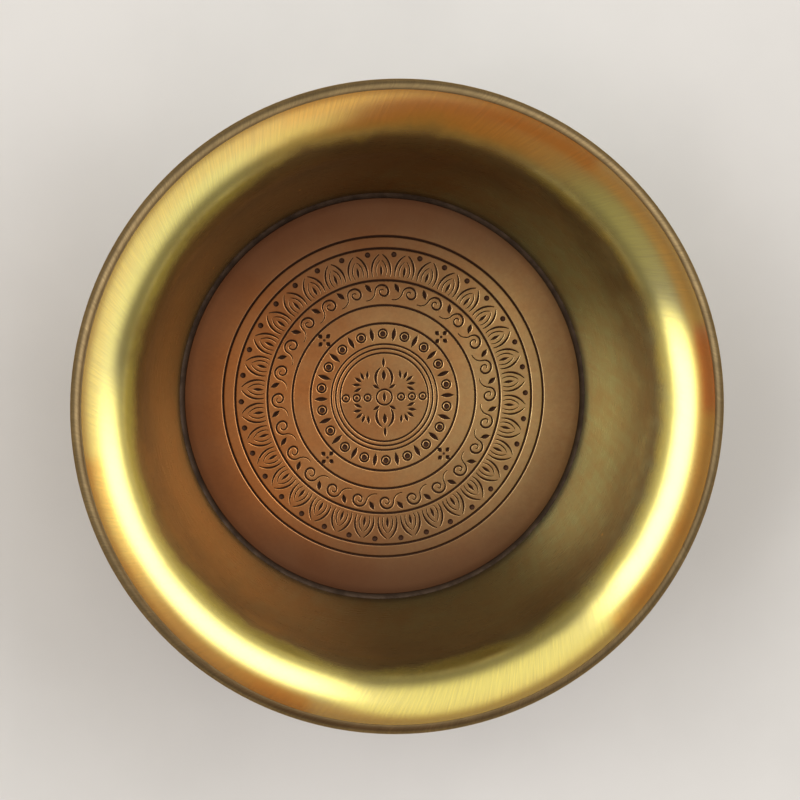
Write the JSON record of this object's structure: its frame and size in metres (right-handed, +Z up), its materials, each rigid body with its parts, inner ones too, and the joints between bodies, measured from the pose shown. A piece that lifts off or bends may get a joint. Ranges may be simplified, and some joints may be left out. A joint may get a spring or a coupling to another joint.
{
  "type": "incense bowl",
  "caption": "Round brass incense bowl with an S-curved wall, a wide flared lip edged by half-round wire, an engraved copper floor and a low foot ring.",
  "frame": {"origin": "centre of the foot ring's standing face, on the table", "axes": "+Z up along the bowl's axis, +Y along the upright emblem on the floor plate, +X to its right"},
  "size_m": [0.13, 0.13, 0.048],
  "materials": {
    "shell_brass": "turned and brushed round the axis, brown patina in the wall",
    "wire_brass": "cross-brushed, satin",
    "plate_copper": "copper, satin, engraved lines darkened",
    "solder": "dull, darkened"
  },
  "bodies": {
    "root": {"bowl_shell": "shell_brass", "rim_wire": "wire_brass", "rim_seam": "solder", "floor_plate": "plate_copper", "floor_seam": "solder", "foot_ring": "shell_brass", "foot_seam": "solder"}
  },
  "joints": []
}
